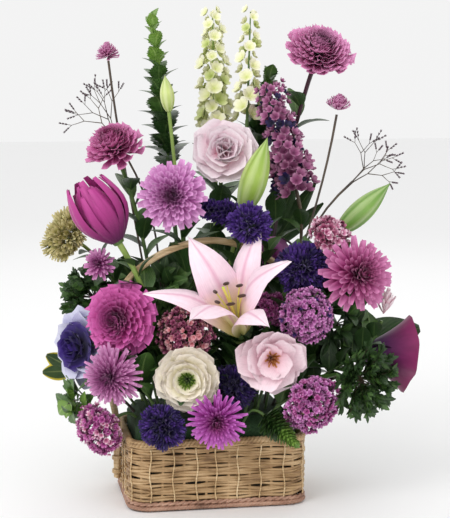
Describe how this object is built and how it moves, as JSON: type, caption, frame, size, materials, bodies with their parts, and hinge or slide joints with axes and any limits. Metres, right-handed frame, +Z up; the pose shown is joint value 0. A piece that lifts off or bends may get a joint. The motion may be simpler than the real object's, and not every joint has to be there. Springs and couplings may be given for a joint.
{
  "type": "flower basket arrangement",
  "caption": "Cut flowers, buds and foliage standing in foam in a low rectangular woven cane basket with a hoop handle, faced to the front.",
  "frame": {"origin": "centre of the basket's flat underside, on the surface that it stands on", "axes": "+Z up; +X along the basket's long side, to the viewer's right; the front, which the blooms face, is -Y"},
  "size_m": [0.4485, 0.2856, 0.5643],
  "materials": {
    "cane": "matte",
    "pale_cane": "satin",
    "liner_plastic": "satin",
    "foam": "matte",
    "leaf": "satin",
    "bud": "satin",
    "petal_blush": "satin",
    "petal_cream": "matte",
    "petal_lilac": "matte",
    "petal_magenta": "matte",
    "petal_violet": "matte",
    "petal_lime": "matte",
    "twig": "matte"
  },
  "bodies": {
    "root": {"basket_base": "cane", "basket_wall": "cane", "basket_rim": "cane", "basket_handle": "pale_cane", "liner_tray": "liner_plastic", "floral_foam": "foam", "lily": "petal_blush", "lily_bud_centre": "bud", "lily_bud_upper": "bud", "lily_bud_right": "bud", "lisianthus_top": "petal_blush", "lisianthus_cream": "petal_cream", "lisianthus_pale": "petal_blush", "lisianthus_lilac": "petal_lilac", "chrysanthemum_upper": "petal_lilac", "chrysanthemum_right": "petal_magenta", "chrysanthemum_left": "petal_magenta", "aster_pink": "petal_lilac", "aster_front": "petal_magenta", "aster_left": "petal_lilac", "scabiosa_large": "petal_magenta", "scabiosa_right": "petal_lilac", "scabiosa_left": "petal_lilac", "tulip": "petal_magenta", "calla": "petal_violet", "snapdragon_left": "petal_cream", "snapdragon_right": "petal_cream", "statice_spike": "petal_violet", "statice_centre": "petal_violet", "statice_right": "petal_violet", "lisianthus_violet": "petal_violet", "statice_front": "petal_violet", "trachelium_right": "petal_lilac", "trachelium_middle": "petal_magenta", "trachelium_centre": "petal_magenta", "trachelium_low_right": "petal_magenta", "trachelium_low_left": "petal_magenta", "stock_left": "petal_magenta", "waxflower_back": "petal_lilac", "waxflower_right": "petal_lilac", "freesia_right": "petal_blush", "statice_low": "petal_violet", "solidago": "petal_lime", "limonium_left": "twig", "limonium_right": "twig", "leafy_branch": "leaf", "ruscus_back": "leaf", "lily_leaf": "leaf", "calla_leaf": "leaf", "fern_front": "leaf", "myrtle_right": "leaf", "myrtle_left": "leaf", "myrtle_centre": "leaf", "myrtle_middle": "leaf", "variegated_leaf": "leaf", "parsley_leaf": "leaf", "salal_back_left": "leaf", "salal_back_middle": "leaf", "salal_back_right": "leaf"}
  },
  "joints": []
}
